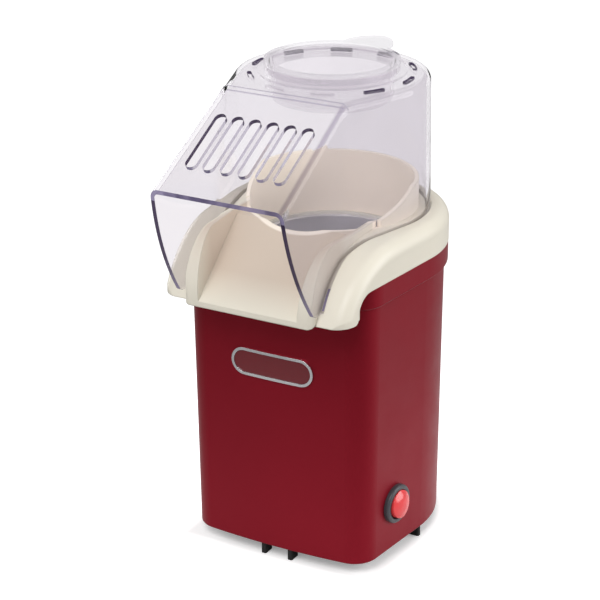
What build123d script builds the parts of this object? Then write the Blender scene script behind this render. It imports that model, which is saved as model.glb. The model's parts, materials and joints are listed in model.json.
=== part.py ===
from build123d import *
import math
import os

# A hot-air popcorn maker, in millimetres. +Z is up and the chute faces -Y.
# The origin is on the table, under the axis of the popping chamber.
os.makedirs("parts", exist_ok=True)

# Clearances and seats, sizes of blocks that only cut, the lean of a face that counts as a top,
# and the shares of a large radius that are tried in turn where the full one does not fit
slide_gap = 0.4
seat_gap = 0.3
shaft_gap = 0.05
screw_gap = 0.1
cut_margin = 20.0
cut_size = 400.0
top_lean = 0.2
round_shares = (1.0, 0.9, 0.75, 0.5, 0.3)

# Housing: round at the back, closing in slightly to a bowed front, with a panel let into its rear
floor_gap = 7.0
housing_radius = 66.0
housing_front = 72.0
side_taper = 6.0
front_bow = 3.6
front_corner = 16.0
housing_spread = 1.6
housing_wall = 2.6
lower_edge_round = 1.2
band_low = 170.0
band_height = 13.5
band_proud = 2.2
band_edge = 1.3
shelf_thickness = 3.5
shelf_bore_step = 6.5
front_notch_depth = 4.0
rear_panel_width = 60.0
rear_panel_margin = 12.0

# Collar: ring, aprons, chute and the wall round the chamber
collar_proud = 3.2
collar_wall = 3.0
collar_deck = 6.0
collar_height = 20.5
seat_bend_start = 41.0
seat_bend_radius = 59.0
apron_hang = 15.5
apron_depth = 14.3
apron_heel = 3.5
apron_front = 98.0
apron_corner = 12.0
shoulder_round = 8.0
groove_depth = 2.5
lip_front = 99.5
lip_corner = 4.0
throat_gap = 0.4
throat_wall = 2.4
chute_start = 45.0
chute_slope = 32.2
chute_floor_thickness = 2.9
chute_sill_rise = 0.5
chute_back_width = 77.4
chute_front_width = 64.0
cheek_back = 24.0
cheek_bend = 72.0
cheek_rise = 4.0
cheek_lean = 3.0
opening_step = 4.5
shield_wall = 2.5
shield_rise = 17.0
shield_drop_start = 6.0
skirt_depth = 19.8

# Hood: clear cover, wider at its foot than at its top
hood_rise = 81.0
hood_wall = 2.5
hood_top_setback = 9.0
hood_foot_setback = 7.4
hood_top_waist = 17.0
hood_foot_waist = 13.8
hood_top_knee = 55.0
hood_foot_knee = 68.0
hood_knee_round = 40.0
hood_foot_drop = 39.0
hood_crease = 56.5
hood_slope = 28.7
hood_brow = 130.0
hood_brow_rise = 43.0
hood_front_bulge = 4.8
hood_edge_round = 5.0
leg_tip_front = 101.0
leg_drop = 28.7
leg_tip_round = 5.0
slope_slots = 6
slope_slot_margin = 8.75
slope_slot_width = 7.0
slope_slot_length = 42.0
slope_slot_start = 75.5
ring_setback = 20.0
ring_wall = 2.5
ring_height = 5.0
ring_flange_width = 4.1
ring_flange_thickness = 1.4
vent_count = 10
vent_setback = 4.4
vent_width = 2.6
vent_arc = 13.0
vent_first = 4.0

# Measuring cup with its leaf-shaped tab
cup_depth = 21.0
cup_wall = 1.8
cup_taper = 1.6
cup_rim_thickness = 1.8
tab_reach = 58.0
tab_width = 30.0
tab_tip_round = 3.0
tab_belly = 0.8
tab_turn = -3.5

# Popping chamber, seal and heater duct
chamber_gap = 6.4
chamber_wall = 1.2
chamber_depth = 66.8
chamber_flange_width = 9.0
chamber_rim_show = 2.8
seal_thickness = 1.7
air_slots = 14
air_slot_width = 2.4
air_slot_length = 16.0
air_slot_lean = 35.0
air_slot_height = 10.0
air_slot_depth = 4.8
duct_setback = 15.6
duct_wall = 1.2

# Heater: crossed mica cards that carry two coils
mica_thickness = 1.0
mica_height = 18.0
mica_lift = 3.0
coil_radii = (20.0, 33.0)
coil_wire_radius = 1.2
coil_sweep = 340.0
coil_start = 55.0
coil_gap = 0.4

# Fan housing and fan
fan_floor = 60.0
fan_floor_thickness = 2.4
fan_housing_top = 88.0
fan_housing_wall = 2.0
fan_inlets = 8
fan_inlet_radius = 4.6
fan_inlet_circle = 27.0
fan_rim_gap = 7.4
fan_blades = 10
fan_blade_thickness = 1.4
fan_blade_height = 13.0
fan_blade_root = 10.0
fan_blade_sweep = 28.0
fan_plate_thickness = 1.6
fan_hub_radius = 6.0
fan_lift = 4.0

# Motor
motor_radius = 17.0
motor_length = 38.0
motor_can_wall = 1.4
magnet_thickness = 3.0
magnet_arc = 120.0
rotor_gap = 1.0
rotor_length = 24.0
rotor_slots = 3
rotor_slot_width = 2.0
shaft_radius = 1.6
shaft_top = 82.0
shaft_tail = 5.0
bush_radius = 4.5
end_cap_thickness = 3.0
motor_screw_circle = 12.0
motor_screw_angles = (0.0, 180.0)
board_radius = 15.0
board_thickness = 1.6
board_hole_radius = 3.2
diode_count = 4
diode_first = 45.0
diode_size = 5.0
diode_height = 3.0
diode_circle = 10.0

# Base
base_thickness = 3.0
base_posts = 4
base_post_radius = 4.0
base_post_inset = 6.4
base_post_first = 20.0
intake_slots = 9
intake_pitch = 7.0
intake_width = 3.6
intake_reach = 36.0
foot_width = 3.2
foot_length = 8.0
foot_edge = 0.8
foot_inset = 2.8
foot_pair_gap = 18.0
foot_side_place = -5.0

# Screws
screw_radius = 1.5
screw_head_radius = 3.0
screw_head_height = 2.0
screw_length = 14.0
screw_slot_width = 0.8
screw_slot_depth = 0.8
boss_radius = 5.0
boss_bite = 1.0
boss_height = 24.0
boss_rear_angle = 45.0
boss_front_place = -52.0
collar_boss_inset = 7.0
collar_boss_angles = (32.0, 148.0, 205.0, 335.0)

# Rocker switch on the right-hand wall
switch_place = -35.8
switch_height = 36.4
switch_hole_radius = 10.0
switch_bezel_radius = 12.0
switch_bezel_thickness = 3.2
switch_bezel_round = 1.4
switch_tube_wall = 0.6
switch_depth = 17.0
switch_floor = 2.0
rocker_gap = 0.8
rocker_tilt = 7.0
rocker_rise = 7.0
rocker_drop = 3.0
rocker_dome_radius = 17.0
pivot_radius = 1.0
terminal_width = 4.8
terminal_thickness = 0.8
terminal_length = 8.0
terminal_spread = 8.0

# Rear cord gland, thermostat and fuse
gland_height = 26.0
gland_hole_radius = 5.6
gland_flange_radius = 7.5
gland_flange_thickness = 2.4
gland_flange_round = 0.8
gland_bore_radius = 3.2
gland_length = 8.0
thermostat_angle = 20.0
thermostat_height = 130.0
thermostat_radius = 6.5
thermostat_thickness = 4.0
thermostat_plate = 1.2
thermostat_plate_height = 17.0
thermostat_tab_width = 5.0
thermostat_tab_length = 5.0
fuse_radius = 2.2
fuse_length = 14.0
fuse_rise = 25.0

# Terminal block on the base
block_width = 22.0
block_depth = 9.0
block_height = 12.0
block_x = 6.0
block_setback = 21.0
block_hole_radius = 1.6
block_hole_spread = 11.0

# Wires between the terminal block, the switch, the board and the thermostat
wire_radius = 1.1
wire_bend_share = 0.45
wire_lead = 8.0
wire_lane = 14.0
wire_block_rise = 6.0
wire_board_place = 12.0
wire_rise_angle = 0.0
wire_bend_angle = -12.0

# Plain badge plate on the front
badge_height = 126.0
badge_width = 54.0
badge_tall = 17.0
badge_rim = 1.6
badge_proud = 1.2
badge_inset = 0.5

# Values worked out from the sizes above
half_draft = housing_spread / 2
taper = math.radians(side_taper)
chute_fall = math.tan(math.radians(chute_slope))
collar_radius = housing_radius + collar_proud
base_top = floor_gap + base_thickness
band_top = band_low + band_height
seat_height = band_top + collar_height
apron_low = band_top - apron_hang
apron_sweep = apron_hang - apron_heel
apron_fall = math.acos((apron_low - seat_height + seat_bend_radius) / seat_bend_radius)
apron_back = seat_bend_start + seat_bend_radius * math.sin(apron_fall) - apron_depth
duct_radius = housing_radius - duct_setback
duct_outer = duct_radius + duct_wall
chamber_radius = duct_radius - chamber_gap
chamber_flange_radius = chamber_radius + chamber_flange_width
opening_radius = chamber_radius + opening_step
shelf_bore_radius = opening_radius + shelf_bore_step
fan_radius = duct_radius - fan_rim_gap
base_post_circle = duct_radius - base_post_inset
collar_boss_circle = housing_radius - collar_boss_inset
shield_height = seat_height + shield_rise
chute_sill_height = seat_height + chute_sill_rise
cheek_top = seat_height + cheek_rise
fuse_height = thermostat_height + fuse_rise
hood_top = seat_height + hood_rise
hood_top_radius = housing_radius - hood_top_setback
hood_foot_radius = housing_radius - hood_foot_setback
hood_top_width = 2 * (hood_top_radius - hood_top_waist)
hood_foot_width = 2 * (hood_foot_radius - hood_foot_waist)
slope_slot_span = hood_top_width - 2 * slope_slot_margin - slope_slot_width
slope_slot_pitch = slope_slot_span / (slope_slots - 1)
hood_foot_height = seat_height - hood_foot_drop
hood_brow_height = seat_height + hood_brow_rise
leg_tip_height = seat_height - leg_drop
ring_bore_radius = hood_top_radius - ring_setback
ring_outer = ring_bore_radius + ring_wall
ring_flange_radius = ring_outer + ring_flange_width
vent_radius = ring_flange_radius + vent_setback
ring_top = hood_top + ring_height
motor_low = fan_floor - motor_length
groove_floor = seat_height - groove_depth
hood_seat = groove_floor + seat_gap
skirt_low = groove_floor - skirt_depth
chamber_flange_low = skirt_low - seal_thickness - chamber_wall
chamber_floor = chamber_flange_low - chamber_depth
block_y = housing_radius - block_setback
fan_low = fan_floor + fan_floor_thickness + fan_lift
draft_angle = math.atan2(housing_spread, band_low - floor_gap)


def save(name, shape):
    """Write one sub-part to its own file."""
    export_step(shape, os.path.join("parts", name + ".step"))


def side_x(y, grow):
    """Half-width of the plan at a place y on its straight side."""
    return (housing_radius + grow) / math.cos(taper) + y * math.tan(taper)


def plan_face(grow, height, front=None, bow=front_bow, corner=None):
    """Plan outline of the housing, grown outwards, at one height."""
    radius = housing_radius + grow
    front = housing_front + grow if front is None else front
    corner = front_corner + grow if corner is None else corner
    touch_x = radius * math.cos(taper)
    touch_y = -radius * math.sin(taper)
    corner_y = bow - front
    corner_x = side_x(corner_y, grow)
    rear = ThreePointArc((touch_x, touch_y), (0, radius), (-touch_x, touch_y))
    left = Line((-touch_x, touch_y), (-corner_x, corner_y))
    nose = ThreePointArc((-corner_x, corner_y), (0, -front), (corner_x, corner_y))
    right = Line((corner_x, corner_y), (touch_x, touch_y))
    face = make_face([rear, left, nose, right])
    face = fillet(face.vertices().sort_by(Axis.Y)[:2], corner)
    return Pos(0, 0, height) * face


def side_prism(edges, reach):
    """Solid with the given outline in the Y-Z plane, reaching both ways along X."""
    return extrude(Plane.YZ * make_face(edges), amount=reach, both=True)


def rod(radius, low, high, x=0.0, y=0.0):
    """Upright cylinder between two heights."""
    return Pos(x, y, low) * Cylinder(radius, high - low, align=(Align.CENTER, Align.CENTER, Align.MIN))


def tube(outer, inner, low, high):
    """Upright tube between two heights."""
    return rod(outer, low, high) - rod(inner, low, high)


def polar(radius, angle):
    """Point of the plan at a radius and an angle from +X."""
    turn = math.radians(angle)
    return radius * math.cos(turn), radius * math.sin(turn)


def edges_round(faces):
    """Edges that lie on the rim of a group of faces."""
    edges = [edge for face in faces for edge in face.edges()]
    return [edge for edge in edges if sum(edge.is_same(other) for other in edges) == 1]


def rounded(body, edges, radius):
    """Body with edges rounded by a radius, or by less where it does not take that much."""
    for share in round_shares:
        try:
            return fillet(edges, radius * share)
        except ValueError:
            continue
    return body


def screw(length):
    """Slotted screw that points up, its head's seat at the origin."""
    head = rod(screw_head_radius, -screw_head_height, 0)
    slot = Pos(0, 0, -screw_head_height) * Box(
        2 * screw_head_radius, screw_slot_width, 2 * screw_slot_depth)
    return head + rod(screw_radius, 0, length) - slot


# Housing

def wall_grow(height):
    """How far the drafted wall stands out from the middle plan at a height."""
    return -half_draft + housing_spread * (height - floor_gap) / (band_low - floor_gap)


def switch_plane():
    """Plane on the right-hand wall at the switch, looking outwards."""
    level = math.cos(draft_angle)
    normal = (math.cos(taper) * level, -math.sin(taper) * level, -math.sin(draft_angle))
    origin = (side_x(switch_place, wall_grow(switch_height)), switch_place, switch_height)
    return Plane(origin, x_dir=(math.sin(taper), math.cos(taper), 0), z_dir=normal)


def boss_places():
    """Where the screw bosses stand inside the housing."""
    inner = -half_draft - housing_wall
    rear = polar(housing_radius + inner - boss_radius + boss_bite, boss_rear_angle)
    front_x = side_x(boss_front_place, inner) - boss_radius + boss_bite
    places = []
    for side in (-1, 1):
        places.append((side * rear[0], rear[1]))
        places.append((side * front_x, boss_front_place))
    return places


def housing_shell():
    """Housing with its rear panel in place."""
    low = plan_face(-half_draft, floor_gap)
    high = plan_face(half_draft, band_low)
    shell = loft([low, high], ruled=True)
    shell = fillet(shell.faces().sort_by(Axis.Z)[0].edges(), lower_edge_round)
    band = extrude(plan_face(half_draft + band_proud, band_low), band_top - band_low)
    band = chamfer(band.faces().sort_by(Axis.Z)[0].edges(), band_edge)
    hollow_low = plan_face(-half_draft - housing_wall, floor_gap)
    hollow_high = plan_face(half_draft - housing_wall, band_low)
    hollow = loft([hollow_low, hollow_high], ruled=True)
    hollow += extrude(hollow_high, band_top - band_low)
    body = shell + band - hollow
    shelf_face = plan_face(half_draft - housing_wall + boss_bite, band_top - shelf_thickness)
    shelf = extrude(shelf_face, shelf_thickness) - rod(shelf_bore_radius, band_low, band_top)
    body += shelf & Pos(0, -seat_bend_start, 0) * Box(
        cut_size, cut_size, cut_size, align=(Align.CENTER, Align.MIN, Align.MIN))
    for x, y in boss_places():
        body += rod(boss_radius, base_top, base_top + boss_height, x, y)
        body -= rod(screw_radius + screw_gap, base_top, base_top + screw_length, x, y)
    for angle in collar_boss_angles:
        x, y = polar(collar_boss_circle, angle)
        body -= rod(screw_radius + screw_gap, band_low, band_top, x, y)
    notch_half = hood_foot_width / 2 + collar_wall
    notch_depth = housing_front - front_corner
    body -= Pos(0, -notch_depth, band_top) * Box(
        2 * notch_half, 2 * (housing_front - notch_depth) + cut_margin, 2 * front_notch_depth)
    body -= switch_plane() * Cylinder(switch_hole_radius, cut_margin)
    gland_y = housing_radius + wall_grow(gland_height)
    body -= Pos(0, gland_y, gland_height) * Rot(90, 0, 0) * Cylinder(gland_hole_radius, cut_margin)
    return body


def rear_zone():
    """Space of the rear panel, from the lower edge to below the band."""
    return Pos(0, housing_radius / 2, 0) * Box(
        rear_panel_width, housing_radius, band_low - rear_panel_margin,
        align=(Align.CENTER, Align.MIN, Align.MIN))


# Collar

def seat_profile(drop, low):
    """Side outline under the collar's top, lowered by a drop, down to a level."""
    radius = seat_bend_radius - drop
    center = seat_height - seat_bend_radius
    top = seat_height - drop
    fall = math.acos((low - center) / radius)
    half = fall / 2
    start = (-seat_bend_start, top)
    middle = (-seat_bend_start - radius * math.sin(half), center + radius * math.cos(half))
    end = (-seat_bend_start - radius * math.sin(fall), low)
    rear = housing_radius + cut_margin
    return start, middle, end, rear, top


def collar_block():
    """Outer form of the collar: ring at the sides and back, aprons in front."""
    start, middle, end, rear, top = seat_profile(0.0, apron_low)
    edges = [
        Line((rear, band_top), (rear, top)),
        Line((rear, top), start),
        ThreePointArc(start, middle, end),
        Line(end, (-apron_back, apron_low)),
        Line((-apron_back, apron_low), (-apron_back, band_top - apron_sweep)),
        RadiusArc((-apron_back, band_top - apron_sweep), (apron_sweep - apron_back, band_top), apron_sweep),
        Line((apron_sweep - apron_back, band_top), (rear, band_top)),
    ]
    side = make_face(edges)
    side = fillet(side.vertices().sort_by_distance((-apron_back, apron_low))[0], apron_heel - seat_gap)
    rise = seat_height - apron_low + cut_margin
    plan = plan_face(collar_proud, apron_low, front=lip_front + cut_margin)
    block = extrude(plan, rise) & extrude(Plane.YZ * side, amount=cut_size, both=True)
    tops = [face for face in block.faces() if face.normal_at().Z > top_lean]
    rims = [edge for edge in edges_round(tops) if edge.bounding_box().max.Z > apron_low + seat_gap]
    block = rounded(block, rims, shoulder_round)
    return block & extrude(plan_face(collar_proud, apron_low, front=apron_front, corner=apron_corner), rise)


def collar_hollow():
    """Space under the collar's deck."""
    low = apron_low - cut_margin
    start, middle, end, rear, top = seat_profile(collar_deck, apron_low)
    edges = [
        Line((rear, low), (rear, top)),
        Line((rear, top), start),
        ThreePointArc(start, middle, end),
        Line(end, (end[0], low)),
        Line((end[0], low), (rear, low)),
    ]
    plan = plan_face(collar_proud - collar_wall, low, front=apron_front - collar_wall, corner=apron_corner)
    return extrude(plan, seat_height - low) & side_prism(edges, collar_radius)


def chute_run(place):
    """Drop and narrowing of the chute at a place in front of the chamber's axis."""
    run = max(0.0, place - chute_start)
    narrowing = (chute_back_width - chute_front_width) / 2 / (lip_front - chute_start)
    return chute_sill_height - run * chute_fall, chute_back_width / 2 - run * narrowing


def spout():
    """Chute block between the hood's legs: sill, floor, lip and two cheeks."""
    half = hood_foot_width / 2 - hood_wall - slide_gap
    under = chute_floor_thickness / math.cos(math.radians(chute_slope))
    front = chute_run(lip_front)[0]
    sill = chute_sill_height - under
    edges = [
        Line((-cheek_back, sill), (-cheek_back, cheek_top)),
        Line((-cheek_back, cheek_top), (-cheek_bend, cheek_top)),
        EllipticalCenterArc(
            (-cheek_bend, front), lip_front - cheek_bend, cheek_top - front, start_angle=90, arc_size=90),
        Line((-lip_front, front), (-lip_front, front - under)),
        Line((-lip_front, front - under), (-chute_start, sill)),
        Line((-chute_start, sill), (-cheek_back, sill)),
    ]
    plan = RectangleRounded(2 * half, cut_size, lip_corner, align=(Align.CENTER, Align.MIN))
    return side_prism(edges, half) & extrude(Pos(0, -lip_front, 0) * plan, cut_size)


def chute_space():
    """Air space of the chute: a level sill, then a sloping floor between leaning cheeks."""
    high = shield_height + cut_margin
    faces = []
    for place in (0.0, chute_start, lip_front + cut_margin):
        floor, foot = chute_run(place)
        top = foot + (high - floor) * math.tan(math.radians(cheek_lean))
        points = [(-foot, floor), (foot, floor), (top, high), (-top, high)]
        corners = [Vector(x, -place, z) for x, z in points]
        faces.append(Face(Wire.make_polygon(corners)))
    return loft(faces, ruled=True)


def shield():
    """Half-round wall behind the chamber, its ends falling to the chute's cheeks."""
    ring = tube(opening_radius + shield_wall, opening_radius, groove_floor, shield_height)
    rear = housing_radius
    points = [
        (rear, groove_floor), (rear, shield_height), (shield_drop_start, shield_height),
        (-cheek_back, cheek_top), (-cheek_back, groove_floor),
    ]
    edges = [Line(a, b) for a, b in zip(points, points[1:] + points[:1])]
    return ring & side_prism(edges, housing_radius)


def throat():
    """Wall that closes the hollow under the chute, just in front of the housing."""
    back = housing_front + half_draft + band_proud + throat_gap
    slab = Pos(0, -back - throat_wall / 2, apron_low) * Box(
        cut_size, throat_wall, seat_height, align=(Align.CENTER, Align.CENTER, Align.MIN))
    return collar_hollow() & slab


def hood_plan(inset, radius, width, knee, height):
    """Plan outline of the hood at one height, moved in by an inset."""
    round_radius = radius - inset
    half = width / 2 - inset
    reach = math.hypot(half, knee)
    angle = math.atan2(-knee, half) + math.acos(round_radius / reach)
    touch = (round_radius * math.cos(angle), round_radius * math.sin(angle))
    far = -(hood_brow + cut_margin)
    edges = [
        ThreePointArc(touch, (0, round_radius), (-touch[0], touch[1])),
        Line((-touch[0], touch[1]), (-half, -knee)),
        Line((-half, -knee), (-half, far)),
        Line((-half, far), (half, far)),
        Line((half, far), (half, -knee)),
        Line((half, -knee), touch),
    ]
    face = make_face(edges)
    knees = [vertex for vertex in face.vertices() if abs(vertex.Y + knee) < seat_gap]
    return Pos(0, 0, height) * fillet(knees, hood_knee_round - inset)


def hood_column(inset):
    """Drafted column with the hood's plan, before its top and front are shaped."""
    foot = hood_plan(inset, hood_foot_radius, hood_foot_width, hood_foot_knee, hood_foot_height)
    top = hood_plan(inset, hood_top_radius, hood_top_width, hood_top_knee, hood_top)
    return loft([foot, top], ruled=True)


def collar():
    body = collar_block() - collar_hollow()
    body += throat()
    body += spout()
    body += tube(opening_radius + shield_wall, opening_radius, skirt_low, groove_floor)
    for angle in collar_boss_angles:
        x, y = polar(collar_boss_circle, angle)
        body += rod(boss_radius, band_top, groove_floor, x, y)
    groove = hood_column(-slide_gap) - hood_column(hood_wall + slide_gap)
    start, middle, end, rear, top = seat_profile(groove_depth, leg_tip_height - seat_gap)
    high = seat_height + cut_margin
    far = -(lip_front + cut_margin)
    edges = [
        Line((rear, high), (rear, top)),
        Line((rear, top), start),
        ThreePointArc(start, middle, end),
        Line(end, (far, end[1])),
        Line((far, end[1]), (far, high)),
        Line((far, high), (rear, high)),
    ]
    body -= groove & side_prism(edges, collar_radius)
    body -= chute_space()
    body -= rod(opening_radius, apron_low, seat_height + cut_margin)
    body += shield()
    for angle in collar_boss_angles:
        x, y = polar(collar_boss_circle, angle)
        body -= rod(screw_radius + screw_gap, band_top, band_top + screw_length, x, y)
    return body


# Hood and cup

def hood_form(inset):
    """Column under the flat top and the sloped front, edges rounded."""
    slope = math.radians(hood_slope)
    top = hood_top - inset
    crease = -(hood_crease - inset * math.tan(slope / 2))
    far = -(hood_brow + 2 * cut_margin)
    slope_end = top + (far - crease) * math.tan(slope)
    rear = hood_top_radius + cut_margin
    low = hood_foot_height - cut_margin
    points = [(rear, low), (rear, top), (crease, top), (far, slope_end), (far, low)]
    outline = make_face([Line(a, b) for a, b in zip(points, points[1:] + points[:1])])
    bend = outline.vertices().sort_by_distance((crease, top))[0]
    outline = fillet(bend, hood_edge_round - inset)
    form = hood_column(inset) & extrude(Plane.YZ * outline, amount=housing_radius, both=True)
    tops = [face for face in form.faces() if face.normal_at().Z > top_lean]
    front = -(hood_brow + cut_margin)
    rims = [edge for edge in edges_round(tops) if edge.center().Y > front + seat_gap]
    return rounded(form, rims, hood_edge_round - inset)


def slope_plane():
    """Plane of the sloped front, its local Y running up the slope."""
    slope = math.radians(hood_slope)
    middle = slope_slot_start + slope_slot_length / 2 * math.cos(slope)
    height = hood_top - (middle - hood_crease) * math.tan(slope)
    normal = (0, -math.sin(slope), math.cos(slope))
    return Plane((0, -middle, height), x_dir=(1, 0, 0), z_dir=normal)


def hood():
    shell = hood_form(0.0) - hood_form(hood_wall)
    drop = seat_height - hood_seat
    start, middle, end, rear, top = seat_profile(drop, leg_tip_height)
    high = hood_top + cut_margin
    brow = (-hood_brow, hood_brow_height)
    tip = (-leg_tip_front, leg_tip_height)
    edges = [
        Line((rear, high), (rear, top)),
        Line((rear, top), start),
        ThreePointArc(start, middle, end),
        Line(end, tip),
        SagittaArc(tip, brow, hood_front_bulge),
        Line(brow, (-hood_brow, high)),
        Line((-hood_brow, high), (rear, high)),
    ]
    outline = make_face(edges)
    outline = fillet(outline.vertices().sort_by_distance(tip)[0], leg_tip_round)
    shell = shell & extrude(Plane.YZ * outline, amount=housing_radius, both=True)
    slots = Sketch()
    for index in range(slope_slots):
        x = (index - (slope_slots - 1) / 2) * slope_slot_pitch
        slots += Pos(x, 0) * SlotOverall(slope_slot_length, slope_slot_width, rotation=90)
    shell -= extrude(slope_plane() * slots, amount=2 * hood_wall, both=True)
    shell += rod(ring_flange_radius, hood_top, hood_top + ring_flange_thickness)
    shell += rod(ring_outer, hood_top, ring_top)
    shell -= rod(ring_bore_radius, hood_top - cut_margin, ring_top)
    for index in range(vent_count):
        middle = vent_first + index * 360 / vent_count
        arc = CenterArc((0, 0), vent_radius, middle - vent_arc / 2, vent_arc)
        shell -= Pos(0, 0, hood_top - hood_wall) * extrude(
            SlotArc(arc, vent_width), amount=2 * hood_wall, both=True)
    return shell


def measuring_cup():
    top_radius = ring_bore_radius - slide_gap
    rim_low = ring_top + seat_gap
    floor = rim_low - cup_depth
    low_radius = top_radius - cup_taper
    outside = Pos(0, 0, floor) * Cone(
        low_radius, top_radius, cup_depth, align=(Align.CENTER, Align.CENTER, Align.MIN))
    rim = rod(ring_outer, rim_low, rim_low + cup_rim_thickness)
    root = tab_width / 2
    belly = root * tab_belly
    middle = (ring_outer + tab_reach) / 2
    tab_edges = [
        Line((-root, 0), (root, 0)),
        Line((root, 0), (root, ring_bore_radius)),
        ThreePointArc((root, ring_bore_radius), (belly, middle), (0, tab_reach)),
        ThreePointArc((0, tab_reach), (-belly, middle), (-root, ring_bore_radius)),
        Line((-root, ring_bore_radius), (-root, 0)),
    ]
    tab_face = make_face(tab_edges)
    tab_face = fillet(tab_face.vertices().sort_by(Axis.Y)[-1], tab_tip_round)
    tab = extrude(Pos(0, 0, rim_low) * Rot(0, 0, tab_turn) * tab_face, cup_rim_thickness)
    inside = Pos(0, 0, floor + cup_wall) * Cone(
        low_radius - cup_wall, top_radius - cup_wall, cup_depth,
        align=(Align.CENTER, Align.CENTER, Align.MIN))
    return outside + rim + tab - inside


# Chamber, seal, duct and heater

def popping_chamber():
    outer = chamber_radius + chamber_wall
    flange_top = chamber_flange_low + chamber_wall
    pot = rod(outer, chamber_floor, flange_top)
    pot += rod(chamber_flange_radius, chamber_flange_low, flange_top)
    pot -= rod(chamber_radius, chamber_floor + chamber_wall, flange_top)
    for index in range(air_slots):
        slot = Box(air_slot_depth, air_slot_width, air_slot_length)
        slot = Pos(outer, 0, chamber_floor + air_slot_height) * Rot(air_slot_lean, 0, 0) * slot
        pot -= Rot(0, 0, index * 360 / air_slots) * slot
    return pot


def chamber_seal():
    low = chamber_flange_low + chamber_wall
    return tube(opening_radius + shield_wall, chamber_radius + chamber_rim_show, low, skirt_low)


def heater_duct():
    return tube(duct_outer, duct_radius, fan_housing_top, chamber_flange_low)


def mica_cards():
    """Two cards, halved into each other, with holes for the coils."""
    low = chamber_floor - mica_lift - mica_height
    middle = low + mica_height / 2
    width = 2 * (duct_radius - seat_gap)
    half_slot = mica_thickness / 2 + screw_gap
    card = Pos(0, 0, middle) * Box(width, mica_thickness, mica_height)
    for radius in coil_radii:
        for side in (-1, 1):
            card -= Pos(side * radius, 0, middle) * Rot(90, 0, 0) * Cylinder(
                coil_wire_radius + coil_gap, cut_margin)
    notch = Box(2 * half_slot, cut_margin, mica_height)
    lower = card - Pos(0, 0, middle + mica_height / 2) * notch
    upper = card - Pos(0, 0, middle - mica_height / 2) * notch
    return lower, Rot(0, 0, 90) * upper


def heating_coil():
    middle = chamber_floor - mica_lift - mica_height / 2
    rings = []
    for radius in coil_radii:
        section = Plane.XZ * Pos(radius, 0) * Circle(coil_wire_radius)
        ring = revolve(section, Axis.Z, coil_sweep)
        rings.append(Pos(0, 0, middle) * Rot(0, 0, coil_start) * ring)
    return Compound(rings)


# Fan and motor

def post_places():
    """Where the posts of the base carry the fan housing."""
    step = 360 / base_posts
    return [polar(base_post_circle, base_post_first + index * step) for index in range(base_posts)]


def fan_housing():
    floor_top = fan_floor + fan_floor_thickness
    cup = rod(duct_outer, fan_floor, fan_housing_top)
    cup -= rod(duct_outer - fan_housing_wall, floor_top, fan_housing_top)
    cup -= rod(bush_radius + screw_gap, fan_floor, floor_top)
    for index in range(fan_inlets):
        x, y = polar(fan_inlet_circle, index * 360 / fan_inlets)
        cup -= rod(fan_inlet_radius, fan_floor, floor_top, x, y)
    for x, y in post_places():
        cup -= rod(screw_radius + screw_gap, fan_floor, floor_top, x, y)
    for angle in motor_screw_angles:
        x, y = polar(motor_screw_circle, angle)
        cup -= rod(screw_radius + screw_gap, fan_floor, floor_top, x, y)
    return cup


def fan_impeller():
    plate_top = fan_low + fan_plate_thickness
    wheel = rod(fan_radius, fan_low, plate_top)
    wheel += rod(fan_hub_radius, fan_low, plate_top + fan_blade_height)
    blade_length = fan_radius - fan_blade_root
    for index in range(fan_blades):
        blade = Pos(blade_length / 2, 0, plate_top + fan_blade_height / 2) * Box(
            blade_length, fan_blade_thickness, fan_blade_height)
        blade = Pos(fan_blade_root, 0, 0) * Rot(0, 0, fan_blade_sweep) * blade
        wheel += Rot(0, 0, index * 360 / fan_blades) * blade
    wheel = wheel & rod(fan_radius, fan_low, plate_top + fan_blade_height)
    return wheel - rod(shaft_radius, fan_low, plate_top + fan_blade_height)


def motor_can():
    can = rod(motor_radius, motor_low, fan_floor)
    can -= rod(motor_radius - motor_can_wall, motor_low, fan_floor - motor_can_wall)
    can -= rod(bush_radius + screw_gap, motor_low, fan_floor)
    for angle in motor_screw_angles:
        x, y = polar(motor_screw_circle, angle)
        can -= rod(screw_radius + screw_gap, motor_low, fan_floor, x, y)
    return can


def motor_magnets():
    outer = motor_radius - motor_can_wall
    low = motor_low + end_cap_thickness + rotor_gap
    ring = tube(outer, outer - magnet_thickness, low, low + rotor_length)
    half = math.radians(magnet_arc / 2)
    reach = 2 * motor_radius
    wedge_points = [(0, 0), (reach, -reach * math.tan(half)), (reach, reach * math.tan(half))]
    wedge_edges = [Line(a, b) for a, b in zip(wedge_points, wedge_points[1:] + wedge_points[:1])]
    wedge = Pos(0, 0, low) * extrude(make_face(wedge_edges), rotor_length)
    return Compound([ring & wedge, ring & (Rot(0, 0, 180) * wedge)])


def motor_rotor():
    outer = motor_radius - motor_can_wall - magnet_thickness - rotor_gap
    low = motor_low + end_cap_thickness + rotor_gap
    core = rod(outer, low, low + rotor_length)
    for index in range(rotor_slots):
        slot = Pos(outer, 0, low + rotor_length / 2) * Box(outer, rotor_slot_width, rotor_length)
        core -= Rot(0, 0, index * 360 / rotor_slots) * slot
    return core - rod(shaft_radius, low, low + rotor_length)


def motor_shaft():
    return rod(shaft_radius, motor_low - shaft_tail, shaft_top)


def motor_bush():
    low = fan_floor - motor_can_wall
    return tube(bush_radius, shaft_radius + shaft_gap, low, fan_floor + fan_floor_thickness)


def motor_end_cap():
    cap = rod(motor_radius - motor_can_wall, motor_low, motor_low + end_cap_thickness)
    return cap - rod(shaft_radius + shaft_gap, motor_low, motor_low + end_cap_thickness)


def rectifier_board():
    low = motor_low - board_thickness
    return tube(board_radius, board_hole_radius, low, motor_low)


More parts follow.
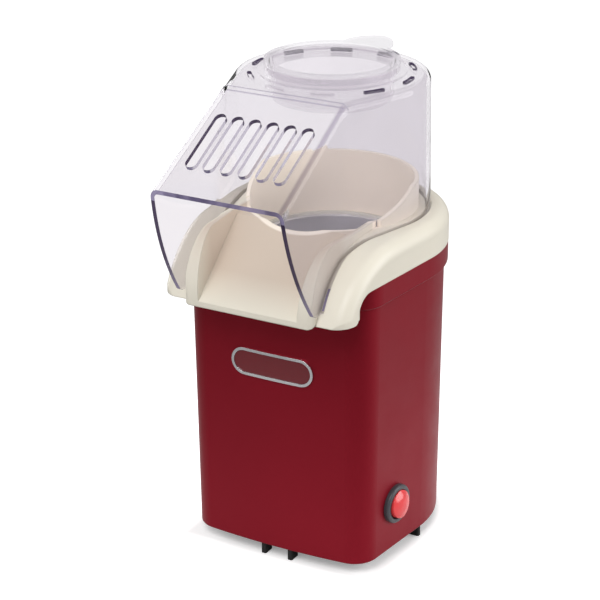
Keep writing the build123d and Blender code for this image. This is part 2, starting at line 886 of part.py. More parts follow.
def rectifier_diodes():
    top = motor_low - board_thickness
    cubes = []
    for index in range(diode_count):
        x, y = polar(diode_circle, diode_first + index * 360 / diode_count)
        cube = Pos(x, y, top - diode_height / 2) * Box(diode_size, diode_size, diode_height)
        cubes.append(cube)
    return Compound(cubes)


# Base

def base_plate():
    outline = plan_face(-half_draft - housing_wall - seat_gap, floor_gap)
    plate = extrude(outline, base_thickness)
    for index in range(intake_slots):
        x = (index - (intake_slots - 1) / 2) * intake_pitch
        half = math.sqrt(intake_reach ** 2 - x ** 2)
        slot = Pos(x, 0, floor_gap) * extrude(
            SlotOverall(2 * half, intake_width, rotation=90), base_thickness)
        plate -= slot
    for x, y in post_places():
        plate += rod(base_post_radius, floor_gap, fan_floor, x, y)
        plate -= rod(screw_radius + screw_gap, fan_floor - screw_length, fan_floor, x, y)
    for x, y in boss_places():
        plate -= rod(screw_radius + screw_gap, floor_gap, base_top, x, y)
    return plate


def foot_places():
    """Names and places of the six blade feet under the base."""
    inner = -half_draft - housing_wall
    front = -(housing_front + inner - foot_inset)
    rear = housing_radius + inner - foot_inset
    side = side_x(foot_side_place, inner) - foot_inset
    half = foot_pair_gap / 2
    return {
        "foot_front_left": (-half, front, 0), "foot_front_right": (half, front, 0),
        "foot_side_left": (-side, foot_side_place, 90), "foot_side_right": (side, foot_side_place, 90),
        "foot_rear_left": (-half, rear, 0), "foot_rear_right": (half, rear, 0),
    }


def foot(x, y, turn):
    block = Box(foot_width, foot_length, floor_gap, align=(Align.CENTER, Align.CENTER, Align.MIN))
    block = fillet(block.edges().filter_by(Axis.Z), foot_edge)
    return Pos(x, y, 0) * Rot(0, 0, turn) * block


# Screws

def base_screws():
    return Compound([Pos(x, y, floor_gap) * screw(screw_length) for x, y in boss_places()])


def collar_screws():
    low = band_top - shelf_thickness
    places = [polar(collar_boss_circle, angle) for angle in collar_boss_angles]
    return Compound([Pos(x, y, low) * screw(screw_length) for x, y in places])


def duct_screws():
    top = fan_floor + fan_floor_thickness
    return Compound([Pos(x, y, top) * Rot(180, 0, 0) * screw(screw_length) for x, y in post_places()])


def motor_screws():
    top = fan_floor + fan_floor_thickness
    length = fan_floor_thickness + motor_can_wall
    places = [polar(motor_screw_circle, angle) for angle in motor_screw_angles]
    return Compound([Pos(x, y, top) * Rot(180, 0, 0) * screw(length) for x, y in places])


# Switch

def switch_body():
    inner = switch_hole_radius - screw_gap - switch_tube_wall
    bezel = rod(switch_bezel_radius, 0, switch_bezel_thickness)
    bezel = fillet(bezel.edges().sort_by(Axis.Z)[-1], switch_bezel_round)
    barrel = rod(switch_hole_radius - screw_gap, -switch_depth, 0)
    body = bezel + barrel - rod(inner, switch_floor - switch_depth, switch_bezel_thickness)
    body -= Rot(0, 90, 0) * Cylinder(pivot_radius + screw_gap / 2, 2 * switch_hole_radius)
    return switch_plane() * body


def switch_rocker():
    radius = switch_hole_radius - screw_gap - switch_tube_wall - rocker_gap
    cap = rod(radius, -rocker_drop, rocker_rise)
    dome = Pos(0, 0, rocker_rise - rocker_dome_radius) * Sphere(rocker_dome_radius)
    cap = cap & dome
    cap -= Rot(0, 90, 0) * Cylinder(pivot_radius + shaft_gap, 2 * switch_hole_radius)
    return switch_plane() * Rot(-rocker_tilt, 0, 0) * cap


def switch_pivot():
    length = 2 * (switch_hole_radius - screw_gap - switch_tube_wall / 2)
    return switch_plane() * Rot(0, 90, 0) * Cylinder(pivot_radius, length)


def switch_terminals():
    blades = []
    for side in (-1, 1):
        blade = Pos(side * terminal_spread / 2, 0, -switch_depth - terminal_length / 2) * Box(
            terminal_thickness, terminal_width, terminal_length)
        blades.append(switch_plane() * blade)
    return Compound(blades)


# Gland, thermostat, fuse, wires and badge

def cord_gland():
    face_y = housing_radius + wall_grow(gland_height + gland_flange_radius)
    turn = Pos(0, face_y, gland_height) * Rot(-90, 0, 0)
    body = rod(gland_flange_radius, 0, gland_flange_thickness)
    body = fillet(body.edges().sort_by(Axis.Z)[-1], gland_flange_round)
    body += rod(gland_hole_radius - screw_gap, -gland_length, 0)
    body -= rod(gland_bore_radius, -gland_length, gland_flange_thickness)
    return turn * body


def thermostat_bracket():
    plate = Pos(duct_outer, 0, thermostat_height) * Box(
        2 * thermostat_plate, 2 * thermostat_radius, thermostat_plate_height)
    plate -= rod(duct_outer, 0, seat_height)
    return Rot(0, 0, thermostat_angle) * plate


def thermostat():
    face = duct_outer + thermostat_plate
    disc = Pos(face, 0, thermostat_height) * Rot(0, 90, 0) * Cylinder(
        thermostat_radius, thermostat_thickness, align=(Align.CENTER, Align.CENTER, Align.MIN))
    low = thermostat_height - thermostat_radius - thermostat_tab_length
    disc += Pos(face, 0, low) * Box(
        thermostat_thickness, thermostat_tab_width, thermostat_radius + thermostat_tab_length,
        align=(Align.MIN, Align.CENTER, Align.MIN))
    return Rot(0, 0, thermostat_angle) * disc


def thermal_fuse():
    barrel = Pos(duct_outer + fuse_radius, 0, fuse_height) * Cylinder(fuse_radius, fuse_length)
    return Rot(0, 0, thermostat_angle) * barrel


def terminal_block():
    block = Pos(block_x, block_y, base_top) * Box(
        block_width, block_depth, block_height, align=(Align.CENTER, Align.CENTER, Align.MIN))
    for side in (-1, 1):
        x = block_x + side * block_hole_spread / 2
        block -= rod(block_hole_radius, base_top + block_height / 2, base_top + block_height, x, block_y)
    return block


def wire(*places):
    """Round wire along straight runs, joined by arcs as large as the runs allow."""
    points = [Vector(place) for place in places]
    radii = []
    for before, corner, after in zip(points, points[1:], points[2:]):
        turn = math.radians((corner - before).get_angle(after - corner))
        shorter = min((corner - before).length, (after - corner).length)
        radii.append(wire_bend_share * shorter / math.tan(turn / 2))
    path = FilletPolyline(*points, radius=radii)
    section = Plane(path @ 0, z_dir=path % 0) * Circle(wire_radius)
    return sweep(section, path=path)


def terminal_lead(side):
    """End of a switch terminal and the point a wire comes to it from."""
    plane = switch_plane()
    reach = switch_depth + terminal_length
    end = plane.from_local_coords((side * terminal_spread / 2, 0, -reach))
    lead = plane.from_local_coords((side * terminal_spread / 2, 0, -reach - wire_lead))
    return end, lead


def wire_block_switch():
    end, lead = terminal_lead(1)
    level = base_top + wire_block_rise
    start_x = block_x + block_width / 2
    lane = start_x + wire_lane
    return wire(
        (start_x, block_y, level), (lane, block_y, level),
        (lane, lead.Y + 2 * wire_lead, level), lead, end)


def wire_switch_thermostat():
    end, lead = terminal_lead(-1)
    radius = duct_outer + thermostat_plate + thermostat_thickness / 2
    x, y = polar(radius, thermostat_angle)
    low = thermostat_height - thermostat_radius - thermostat_tab_length
    turn_x, turn_y = polar(radius, wire_rise_angle)
    bend_x, bend_y = polar(radius - wire_lead, wire_bend_angle)
    return wire(
        end, lead, (bend_x, bend_y, switch_height + 2 * wire_lead), (turn_x, turn_y, fan_floor),
        (x, y, fan_housing_top), (x, y, low))


def wire_block_board():
    level = base_top + wire_block_rise / 2
    return wire(
        (block_x, block_y - block_depth / 2, level), (block_x, wire_board_place, level),
        (block_x, wire_board_place, motor_low - board_thickness))


def badge(margin, proud):
    """Plate that follows the bowed front, with round ends."""
    face = Pos(0, badge_height) * SlotOverall(badge_width - 2 * margin, badge_tall - 2 * margin)
    prism = extrude(Plane.XZ * face, amount=2 * housing_front)
    layers = []
    for grow in (proud, 0.0):
        low = plan_face(grow - half_draft, floor_gap)
        high = plan_face(grow + half_draft, band_low)
        layers.append(loft([low, high], ruled=True))
    return prism & (layers[0] - layers[1])


shell = housing_shell()
card_long, card_cross = mica_cards()

nodes = {
    "housing": shell - rear_zone(),
    "rear_panel": shell & rear_zone(),
    "collar": collar(),
    "hood": hood(),
    "measuring_cup": measuring_cup(),
    "popping_chamber": popping_chamber(),
    "chamber_seal": chamber_seal(),
    "heater_duct": heater_duct(),
    "mica_card_long": card_long,
    "mica_card_cross": card_cross,
    "heating_coil": heating_coil(),
    "fan_housing": fan_housing(),
    "fan_impeller": fan_impeller(),
    "motor_can": motor_can(),
    "motor_magnets": motor_magnets(),
    "motor_rotor": motor_rotor(),
    "motor_shaft": motor_shaft(),
    "motor_bush": motor_bush(),
    "motor_end_cap": motor_end_cap(),
    "rectifier_board": rectifier_board(),
    "rectifier_diodes": rectifier_diodes(),
    "base_plate": base_plate(),
    "base_screws": base_screws(),
    "collar_screws": collar_screws(),
    "duct_screws": duct_screws(),
    "motor_screws": motor_screws(),
    "switch_body": switch_body(),
    "switch_rocker": switch_rocker(),
    "switch_pivot": switch_pivot(),
    "switch_terminals": switch_terminals(),
    "cord_gland": cord_gland(),
    "thermostat_bracket": thermostat_bracket(),
    "thermostat": thermostat(),
    "thermal_fuse": thermal_fuse(),
    "terminal_block": terminal_block(),
    "wire_block_switch": wire_block_switch(),
    "wire_switch_thermostat": wire_switch_thermostat(),
    "wire_block_board": wire_block_board(),
    "badge_rim": badge(0.0, badge_proud) - badge(badge_rim, badge_proud),
    "badge_plate": badge(badge_rim, badge_inset),
}
for name, place in foot_places().items():
    nodes[name] = foot(*place)
for name, shape in nodes.items():
    save(name, shape)
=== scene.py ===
import functools
import json
import math

import bpy
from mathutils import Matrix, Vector


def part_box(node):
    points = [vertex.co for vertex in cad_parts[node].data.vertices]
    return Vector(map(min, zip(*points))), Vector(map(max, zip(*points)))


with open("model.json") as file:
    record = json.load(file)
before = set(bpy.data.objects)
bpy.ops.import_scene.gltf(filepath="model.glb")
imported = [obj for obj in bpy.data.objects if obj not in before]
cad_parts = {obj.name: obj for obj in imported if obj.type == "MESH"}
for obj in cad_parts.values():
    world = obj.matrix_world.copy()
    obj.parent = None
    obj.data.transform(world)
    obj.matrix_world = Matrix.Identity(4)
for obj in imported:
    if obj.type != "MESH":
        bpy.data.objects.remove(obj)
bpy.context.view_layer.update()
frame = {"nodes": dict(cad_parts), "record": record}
nodes = frame["nodes"]

# Camera fitted to the photograph, in metres and pixels of a 600-pixel frame
CAMERA_PLACE = (0.5441, -0.9937, 0.6048)
CAMERA_AIM = (0.0, 0.0, 0.1416)
CAMERA_LENS = 121.8
SENSOR = 36.0
SHIFT_X = -32.3 / 600

# Places on the clear hood whose edges are given painted shade, in metres
HOOD_SLOPE = math.radians(28.7)
SLOT_HALF = 0.034
SLOT_OUTER = 0.0308
SLOT_FRONT = -0.1135
SLOT_BACK = -0.0735
SLOT_END = 0.005
SLOT_LOW = 0.25
VENT_LOW = 0.2832
VENT_HIGH = 0.28495
VENT_INNER = 0.0445
VENT_FRONT = -0.035
MOUTH_BACK = -0.08
BROW_LOW = 0.238
LEG_LOW = 0.178
LEG_HIGH = 0.2
SLOPE_BACK = -0.057
CREASE_BACK = -0.0556
CREASE_FRONT = -0.0566
CREASE_LOW = 0.2815
FOOT_HIGH = 0.225

# How the hood's faces lie, as shares of their normals along an axis or the slope
LEVEL_FACE = 0.97
UPRIGHT_FACE = 0.3
FRONT_FACE = -0.7
UNDER_FACE = -0.5
SLOT_FACE = 0.5
RIDGE_LEAST = 0.6
RIDGE_MOST = 0.93

# Violets of painted shade on the hood's cut edges, slot ends, vents, crease and underside, and how far an
# edge is clear
SLOT_SHADE_VIOLET = (0.52, 0.49, 0.58, 1.0)
BROW_SHADE_VIOLET = (0.30, 0.26, 0.42, 1.0)
CREASE_SHADE_VIOLET = (0.46, 0.43, 0.52, 1.0)
RIDGE_SHADE_VIOLET = (0.60, 0.56, 0.64, 1.0)
FOOT_SHADE_VIOLET = (0.22, 0.18, 0.26, 1.0)
EDGE_SHADE_VIOLET = (0.10, 0.08, 0.17, 1.0)
DEEP_SHADE_VIOLET = (0.045, 0.03, 0.07, 1.0)
SOFT_EDGE = 0.6
EDGE_CLARITY = 0.2
BROW_STREAKS = (70, 1, 1)

# Clear pieces: tint through the walls, tint through level faces as painted light and shade (paler on the
# hood, darker on the cup), refraction and share that is clear
HOOD_WALL = (0.775, 0.75, 0.782)
HOOD_ROOF_PAINTED_LIGHT = (0.935, 0.924, 0.939)
HOOD_IOR = 1.03
CUP_WALL = (0.92, 0.905, 0.925)
CUP_ROOF = (0.86, 0.846, 0.867)
CUP_IOR = 1.02
CUP_CLARITY = 0.88
LAMP_TINT = (0.985, 0.98, 0.985, 1.0)

# Reach of the throat and the chute, in metres; the throat's cream is painted paler as painted light, the
# chute's darker as painted shade, and both warmer
THROAT_REACH = 0.0515
CHUTE_HALF = 0.0415
CHUTE_FRONT = -0.0985
THROAT_FADE = 0.001
CHUTE_FADE = 0.003
LIP_FADE = 0.02

# Floor: its bright pool, the shadow round the base, the bright side that reflections see
POOL_NEAR = 0.12
POOL_FAR = 0.4
POOL_TONE = (0.88, 0.88, 0.88, 1.0)
FAR_TONE = (0.2, 0.2, 0.2, 1.0)
SHADOW_REACH = 0.014
SHADOW_LEAST = 0.25
CARD_WAY = (0.75, 0.66)
CARD_LEVELS = (0.08, 0.4)
CARD_START = 0.3
FLOOR_HALF = 4.0

# World strength in reflections and as light on the part, where 1 is white
WORLD_GLOSS = 0.4
WORLD_LIGHT = 0.2
FIRST_BOUNCE = 0.5

# Soft boxes: name, place, height of the aim, width and height in metres, power in watts
LAMPS = (
    ("top_box", (0.1, -0.95, 1.25), 0.2, 1.0, 0.8, 14.0),
    ("right_box", (1.1, 0.45, 0.5), 0.12, 0.9, 0.9, 11.5),
    ("front_box", (-0.45, -1.35, 0.6), 0.1, 0.9, 0.7, 3.5),
    ("back_box", (-1.35, 0.45, 0.4), 0.12, 0.8, 0.7, 8.0),
)

# Grain of the materials: scales of noise per metre, depths and edge radii in metres
CLOUD_SCALE = 14.0
GLOSS_SCALE = 60.0
STAIN_SCALE = 40.0
HAZE_SCALE = 30.0
WAVE_SCALE = 45.0
SMEAR_SCALE = 90.0
FINE_SCALE = 2600.0
FLOOR_SCALE = 300.0
PLASTIC_ROUND = 0.0005
CREAM_ROUND = 0.0008
METAL_ROUND = 0.0003
LINE_DEPTH = 0.00002
WAVE_DEPTH = 0.0002
FINE_DEPTH = 0.00001
FLOOR_DEPTH = 0.0001

# Colours that materials share or that were set against the photograph
RED = (0.228, 0.0078, 0.0175)
CREAM = (0.77, 0.725, 0.62)
# The chute and throat creams are shaded and lit copies of the cream: painted shade on the chute, painted
# light in the throat
CHUTE_PAINTED_SHADE_CREAM = (0.62, 0.525, 0.435)
THROAT_PAINTED_LIGHT_CREAM = (0.93, 0.845, 0.74)
BLACK = (0.012, 0.012, 0.013)
BEZEL = (0.05, 0.052, 0.06)
WHITE = (1.0, 1.0, 1.0, 1.0)


class Graph:
    """A node tree whose parts are added one after the other."""

    def __init__(self, tree):
        self.tree = tree

    def add(self, kind, inputs=None, **settings):
        """One node, its settings, and its inputs as values or as sockets to link."""
        made = self.tree.nodes.new(kind)
        for key, value in settings.items():
            setattr(made, key, value)
        for key, value in (inputs or {}).items():
            self.put(made.inputs[key], value)
        return made

    def put(self, socket, value):
        if isinstance(value, bpy.types.NodeSocket):
            self.tree.links.new(value, socket)
        else:
            socket.default_value = value

    def span(self, value, low, high, start=0.3, end=0.7):
        """A value from start to end, as one from low to high."""
        inputs = {"Value": value, "From Min": start, "From Max": end, "To Min": low, "To Max": high}
        return self.add("ShaderNodeMapRange", inputs).outputs[0]

    def blend(self, factor, first, second):
        """Mix of two colours."""
        return self.add("ShaderNodeMix", {0: factor, 6: first, 7: second}, data_type="RGBA").outputs[2]

    def math(self, operation, first, second=0.0):
        return self.add("ShaderNodeMath", {0: first, 1: second}, operation=operation).outputs[0]

    def above(self, value, limit):
        return self.math("GREATER_THAN", value, limit)

    def below(self, value, limit):
        return self.math("LESS_THAN", value, limit)

    def both(self, *masks):
        """1 where every mask is 1."""
        return functools.reduce(lambda first, second: self.math("MULTIPLY", first, second), masks)

    def either(self, *masks):
        """The largest of the masks."""
        return functools.reduce(lambda first, second: self.math("MAXIMUM", first, second), masks)

    def length(self, across, along):
        """Length of a flat vector."""
        squares = self.math("MULTIPLY", across, across), self.math("MULTIPLY", along, along)
        return self.math("SQRT", self.math("ADD", *squares))

    def parts(self, vector):
        return self.add("ShaderNodeSeparateXYZ", {"Vector": vector}).outputs


class Paint(Graph):
    """A material round one shader, painted by place on the piece."""

    def __init__(self, name):
        self.mat = bpy.data.materials.new(name)
        self.mat.use_nodes = True
        super().__init__(self.mat.node_tree)
        self.shader = self.tree.nodes["Principled BSDF"]
        self.coord = self.add("ShaderNodeTexCoord")
        self.place = self.coord.outputs["Object"]

    def set(self, **values):
        """Sets inputs of the shader; underscores stand for spaces."""
        for key, value in values.items():
            self.put(self.shader.inputs[key.replace("_", " ")], value)

    def noise(self, scale, detail, stretch=(1, 1, 1)):
        place = self.add("ShaderNodeMapping", {"Vector": self.place, "Scale": stretch})
        inputs = {"Vector": place.outputs[0], "Scale": scale, "Detail": detail}
        return self.add("ShaderNodeTexNoise", inputs).outputs["Fac"]

    def bump(self, height, strength, distance, normal=None):
        inputs = {"Height": height, "Strength": strength, "Distance": distance}
        if normal:
            inputs["Normal"] = normal
        return self.add("ShaderNodeBump", inputs).outputs[0]

    def edge(self, radius):
        """Normal that rounds sharp edges off."""
        return self.add("ShaderNodeBevel", {"Radius": radius}, samples=4).outputs[0]


def shade(color, share):
    """A colour made darker or paler, with its alpha."""
    return tuple(min(1.0, channel * share) for channel in color) + (1.0,)


def moulded(name, color, rough, grain=1800.0, depth=0.00002, specular=0.4, drift=0.06, pearl=0.0):
    """Moulded plastic: slight colour drift, fine spark-eroded grain, softened edges, a share of pearl."""
    paint = Paint(name)
    cloud = paint.noise(CLOUD_SCALE, 4.0)
    fleck = paint.noise(grain / 2, 2.0)
    tone = paint.blend(paint.span(cloud, 0.0, 1.0), shade(color, 1 - drift), shade(color, 1 + drift))
    tone = paint.blend(paint.span(fleck, 0.0, 0.5), tone, shade(color, 1 - drift))
    texture = paint.noise(grain, 2.0)
    gloss = paint.span(paint.noise(GLOSS_SCALE, 3.0), rough * 0.9, rough * 1.1)
    paint.set(
        Base_Color=tone, Roughness=gloss, Specular_IOR_Level=specular, Metallic=pearl,
        Normal=paint.bump(texture, 0.35, depth, paint.edge(PLASTIC_ROUND)))
    return paint


def metal(name, color, rough, stretch=(30, 30, 900)):
    """Bare metal with fine drawn or turned lines."""
    paint = Paint(name)
    lines = paint.noise(2.0, 4.0, stretch)
    stain = paint.noise(STAIN_SCALE, 4.0)
    tone = paint.blend(paint.span(stain, 0.0, 1.0), shade(color, 0.9), shade(color, 1.05))
    gloss = paint.span(lines, rough * 0.8, rough * 1.25)
    paint.set(
        Base_Color=tone, Metallic=1.0, Roughness=gloss,
        Normal=paint.bump(lines, 0.4, LINE_DEPTH, paint.edge(METAL_ROUND)))
    return paint


def hood_edges(paint, tone, facing):
    """The hood's tone, with its sloped roof paler as painted light, violet painted shade on its cut edges,
    slot ends, vents, crease and underside, and how clear it is.
    """
    place = paint.parts(paint.place)
    slope = paint.add(
        "ShaderNodeVectorMath",
        {0: paint.coord.outputs["Normal"], 1: (0.0, -math.sin(HOOD_SLOPE), math.cos(HOOD_SLOPE))},
        operation="DOT_PRODUCT")
    steep = paint.math("ABSOLUTE", slope.outputs["Value"])
    beside = paint.math("ABSOLUTE", place[0])
    ahead = paint.below(place[1], SLOPE_BACK)
    roof = paint.both(paint.above(steep, LEVEL_FACE), ahead)
    ridge = paint.both(
        paint.below(steep, RIDGE_MOST), paint.above(steep, RIDGE_LEAST), paint.above(beside, SLOT_HALF),
        ahead, paint.above(place[2], BROW_LOW))
    slot = paint.both(
        paint.below(steep, SLOT_FACE), paint.below(beside, SLOT_HALF), paint.above(place[1], SLOT_FRONT),
        paint.below(place[1], SLOT_BACK), paint.above(place[2], SLOT_LOW))
    slot_end = paint.both(slot, paint.above(place[1], SLOT_BACK - SLOT_END))
    slot_side = paint.both(slot, paint.below(place[0], -SLOT_OUTER))
    vent = paint.both(
        paint.below(paint.math("ABSOLUTE", facing[2]), UPRIGHT_FACE),
        paint.above(paint.length(place[0], place[1]), VENT_INNER), paint.above(place[2], VENT_LOW),
        paint.below(place[2], VENT_HIGH), paint.above(place[1], VENT_FRONT))
    crease = paint.both(
        paint.below(place[1], CREASE_BACK), paint.above(place[1], CREASE_FRONT),
        paint.above(place[2], CREASE_LOW))
    foot = paint.both(paint.below(facing[2], UNDER_FACE), paint.below(place[2], FOOT_HIGH))
    mouth = paint.both(paint.below(facing[1], FRONT_FACE), paint.below(place[1], MOUTH_BACK))
    brow = paint.both(mouth, paint.above(place[2], BROW_LOW))
    fall = paint.span(place[2], 0.0, 1.0, LEG_LOW, LEG_HIGH)
    streak = paint.span(paint.noise(1.0, 2.0, BROW_STREAKS), 0.0, 1.0, 0.4, 0.6)
    # Painted light: the sloped roof is paler; the violets below are painted shade
    tone = paint.blend(roof, tone, shade(HOOD_ROOF_PAINTED_LIGHT, 1.0))
    tone = paint.blend(crease, tone, CREASE_SHADE_VIOLET)
    tone = paint.blend(ridge, tone, RIDGE_SHADE_VIOLET)
    tone = paint.blend(foot, tone, FOOT_SHADE_VIOLET)
    tone = paint.blend(slot, tone, SLOT_SHADE_VIOLET)
    # Deepest painted shade at the slot ends, one side of the slots and the vents
    tone = paint.blend(paint.either(slot_end, slot_side, vent), tone, DEEP_SHADE_VIOLET)
    # Painted shade on the mouth's front faces, darker higher up the legs, and in streaks along the brow
    tone = paint.blend(mouth, tone, paint.blend(fall, BROW_SHADE_VIOLET, DEEP_SHADE_VIOLET))
    tone = paint.blend(brow, tone, paint.blend(streak, EDGE_SHADE_VIOLET, BROW_SHADE_VIOLET))
    soft = paint.math("MULTIPLY", paint.either(slot, crease, foot), SOFT_EDGE)
    edge = paint.either(soft, slot_end, slot_side, vent, mouth)
    return tone, paint.span(edge, 1.0, EDGE_CLARITY, 0.0, 1.0)


def clear(name, wall, roof, ior, clarity=1.0, edges=None):
    """Clear moulding, tinted through its walls, with another tint through level faces as painted light and
    shade, which lets lamp light through.
    """
    paint = Paint(name)
    facing = paint.parts(paint.coord.outputs["Normal"])
    level = paint.above(paint.math("ABSOLUTE", facing[2]), LEVEL_FACE)
    haze = paint.span(paint.noise(HAZE_SCALE, 3.0), 0.0, 1.0)
    tone = paint.blend(haze, shade(wall, 0.985), shade(wall, 1.0))
    # Painted light and shade: level faces take another tint than the walls, paler on the hood, darker on the
    # cup
    tone = paint.blend(level, tone, shade(roof, 1.0))
    if edges:
        tone, clarity = edges(paint, tone, facing)
    gloss = paint.span(paint.noise(SMEAR_SCALE, 3.0), 0.02, 0.05)
    paint.set(
        Base_Color=tone, Roughness=gloss, IOR=ior, Coat_Weight=0.4, Coat_Roughness=0.03,
        Transmission_Weight=clarity, Normal=paint.bump(paint.noise(WAVE_SCALE, 1.0), 0.15, WAVE_DEPTH))
    path = paint.add("ShaderNodeLightPath")
    open_way = paint.add("ShaderNodeBsdfTransparent", {"Color": LAMP_TINT})
    ways = {0: path.outputs["Is Shadow Ray"], 1: paint.shader.outputs[0], 2: open_way.outputs[0]}
    mixed = paint.add("ShaderNodeMixShader", ways)
    paint.put(paint.tree.nodes["Material Output"].inputs["Surface"], mixed.outputs[0])
    return paint


def cream(name, outer, chute, throat_light_tone):
    """Smooth cream moulding, warmer in its throat and on its chute: paler in the throat as painted light,
    darker on the chute as painted shade.
    """
    paint = Paint(name)
    place = paint.parts(paint.place)
    reach = paint.length(place[0], place[1])
    throat = paint.span(reach, 1.0, 0.0, THROAT_REACH - THROAT_FADE, THROAT_REACH)
    between = paint.span(paint.math("ABSOLUTE", place[0]), 1.0, 0.0, CHUTE_HALF - CHUTE_FADE, CHUTE_HALF)
    inward = paint.span(place[1], 0.0, 1.0, CHUTE_FRONT, CHUTE_FRONT + LIP_FADE)
    chute_shade_mask = paint.both(between, inward, paint.below(place[1], 0.0))
    cloud = paint.span(paint.noise(CLOUD_SCALE, 4.0), 0.0, 1.0)
    tone = paint.blend(cloud, shade(outer, 0.99), shade(outer, 1.01))
    # Painted shade: the chute's cream is darker and warmer than the rest
    tone = paint.blend(chute_shade_mask, tone, paint.blend(cloud, shade(chute, 0.98), shade(chute, 1.02)))
    # Painted light: the throat's cream is paler and warmer than the rest, making up for less light inside
    tone = paint.blend(throat, tone, paint.blend(cloud, shade(throat_light_tone, 0.98), shade(throat_light_tone, 1.02)))
    gloss = paint.span(paint.noise(GLOSS_SCALE, 3.0), 0.29, 0.35)
    paint.set(
        Base_Color=tone, Roughness=gloss, Specular_IOR_Level=0.3,
        Normal=paint.bump(paint.noise(FINE_SCALE, 2.0), 0.3, FINE_DEPTH, paint.edge(CREAM_ROUND)))
    return paint


def background_rays(graph, glossy):
    """How white the background is to a ray: to the camera, through clear pieces, less in reflections."""
    path = graph.add("ShaderNodeLightPath").outputs
    seen = graph.either(path["Is Camera Ray"], path["Is Transmission Ray"])
    seen = graph.either(seen, graph.math("MULTIPLY", path["Is Glossy Ray"], glossy))
    return graph.both(seen, graph.below(path["Diffuse Depth"], FIRST_BOUNCE))


def floor_paint():
    """Pale floor, white to the camera beyond the part's own tight shadow, and dimmer in reflections."""
    paint = Paint("floor_white")
    place = paint.parts(paint.place)
    low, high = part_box("base_plate")
    reach = paint.length(place[0], place[1])
    pool = paint.span(reach, 0.0, 1.0, POOL_NEAR, POOL_FAR)
    round_back = paint.length(place[0], paint.math("MAXIMUM", place[1], 0.0))
    aside = paint.math("MAXIMUM", paint.math("SUBTRACT", round_back, high[0]), 0.0)
    before = paint.math("MAXIMUM", paint.math("SUBTRACT", low[1], place[1]), 0.0)
    white = paint.span(paint.length(aside, before), SHADOW_LEAST, 1.0, 0.0, SHADOW_REACH)
    toward = paint.math("ADD", *(paint.math("MULTIPLY", place[axis], CARD_WAY[axis]) for axis in (0, 1)))
    card = paint.span(paint.math("DIVIDE", toward, reach), *CARD_LEVELS, CARD_START, 1.0)
    paint.set(
        Base_Color=paint.blend(pool, POOL_TONE, FAR_TONE), Roughness=0.9, Specular_IOR_Level=0.1,
        Normal=paint.bump(paint.noise(FLOOR_SCALE, 2.0), 0.05, FLOOR_DEPTH),
        Emission_Color=WHITE, Emission_Strength=paint.both(white, background_rays(paint, card)))
    return paint


# Materials of the record's slots

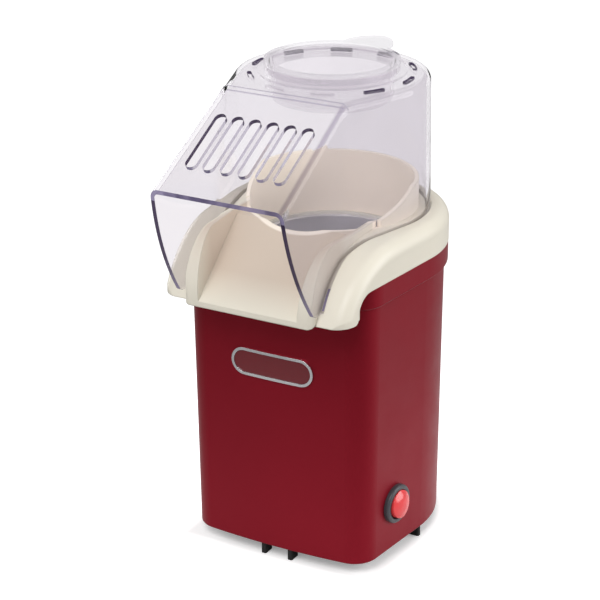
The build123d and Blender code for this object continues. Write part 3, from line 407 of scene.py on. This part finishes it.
looks = {
    "red_plastic": moulded("red_moulding", RED, 0.4, grain=1500.0, specular=0.1, drift=0.04, pearl=0.45),
    "cream_plastic": cream("cream_moulding", CREAM, CHUTE_PAINTED_SHADE_CREAM, THROAT_PAINTED_LIGHT_CREAM),
    "clear_plastic": clear("clear_moulding", HOOD_WALL, HOOD_ROOF_PAINTED_LIGHT, HOOD_IOR, edges=hood_edges),
    "aluminium": metal("drawn_aluminium", (0.80, 0.79, 0.83), 0.5),
    "seal_rubber": moulded("seal_silicone", (0.62, 0.60, 0.55), 0.6, specular=0.3),
    "steel_sheet": metal("sheet_steel", (0.55, 0.55, 0.56), 0.32),
    "mica": moulded("mica_board", (0.58, 0.48, 0.33), 0.55, grain=500.0, drift=0.2),
    "coil_wire": metal("coil_metal", (0.36, 0.33, 0.31), 0.45),
    "black_plastic": moulded("black_moulding", BLACK, 0.42, specular=0.45),
    "fan_plastic": moulded("fan_moulding", (0.03, 0.03, 0.033), 0.5),
    "magnet": moulded("ferrite", (0.035, 0.035, 0.037), 0.6, grain=900.0),
    "rotor_steel": metal("ground_steel", (0.5, 0.5, 0.51), 0.3),
    "brass": metal("bright_brass", (0.72, 0.50, 0.20), 0.3),
    "board": moulded("board_green", (0.02, 0.12, 0.05), 0.4, drift=0.15),
    "screw_steel": metal("zinc_steel", (0.56, 0.56, 0.58), 0.33, stretch=(400, 400, 60)),
    "rocker_red": moulded(
        "rocker_moulding", (0.75, 0.045, 0.05), 0.16, grain=3000.0, depth=0.000005, specular=0.6),
    "thermostat_body": moulded("ceramic_white", (0.70, 0.68, 0.62), 0.5),
    "white_plastic": moulded("white_moulding", (0.76, 0.76, 0.74), 0.4),
    "badge_metal": metal("badge_rim_metal", (0.74, 0.74, 0.76), 0.2, stretch=(200, 200, 200)),
    "badge_face": moulded("badge_enamel", (0.15, 0.006, 0.012), 0.12, grain=700.0, specular=0.6),
    "black_rubber": moulded(
        "foot_rubber", (0.014, 0.014, 0.014), 0.75, grain=1100.0, depth=0.00005, specular=0.25),
    "wire_cover": moulded("wire_sleeve", (0.05, 0.05, 0.055), 0.4),
}
own_looks = {
    "switch_body": moulded("bezel_moulding", BEZEL, 0.36),
    "measuring_cup": clear("cup_moulding", CUP_WALL, CUP_ROOF, CUP_IOR, CUP_CLARITY),
}
slots = {part["node"]: part["material_slot"] for part in frame["record"]["subparts"]}
for name, obj in nodes.items():
    obj.data.materials.clear()
    obj.data.materials.append(own_looks.get(name, looks[slots[name]]).mat)


# Floor, world, light and camera

def add_object(name, data, place, aim=None):
    """An object in the scene, turned to face its aim where it has one."""
    made = bpy.data.objects.new(name, data)
    made.location = place
    if aim:
        made.rotation_mode = "QUATERNION"
        made.rotation_quaternion = (Vector(aim) - Vector(place)).to_track_quat("-Z", "Y")
    bpy.context.scene.collection.objects.link(made)
    return made


floor_mesh = bpy.data.meshes.new("floor")
signs = ((-1, -1), (1, -1), (1, 1), (-1, 1))
corners = [(across * FLOOR_HALF, along * FLOOR_HALF, 0.0) for across, along in signs]
floor_mesh.from_pydata(corners, [], [(0, 1, 2, 3)])
floor_mesh.materials.append(floor_paint().mat)
add_object("floor", floor_mesh, (0.0, 0.0, 0.0))

world = bpy.data.worlds.new("studio")
bpy.context.scene.world = world
world.use_nodes = True
sky = Graph(world.node_tree)
background = sky.tree.nodes["Background"]
sky.put(background.inputs["Color"], WHITE)
shown = background_rays(sky, WORLD_GLOSS)
sky.put(background.inputs["Strength"], sky.span(shown, WORLD_LIGHT, 1.0, 0.0, 1.0))

for name, place, aim_height, width, height, power in LAMPS:
    lamp = bpy.data.lights.new(name, "AREA")
    lamp.shape = "RECTANGLE"
    lamp.size = width
    lamp.size_y = height
    lamp.energy = power
    add_object(name, lamp, place, (0.0, 0.0, aim_height)).visible_transmission = False

lens = bpy.data.cameras.new("camera")
lens.sensor_width = SENSOR
lens.lens = CAMERA_LENS
lens.shift_x = SHIFT_X
bpy.context.scene.camera = add_object("camera", lens, CAMERA_PLACE, CAMERA_AIM)
bpy.context.scene.view_settings.view_transform = "Standard"
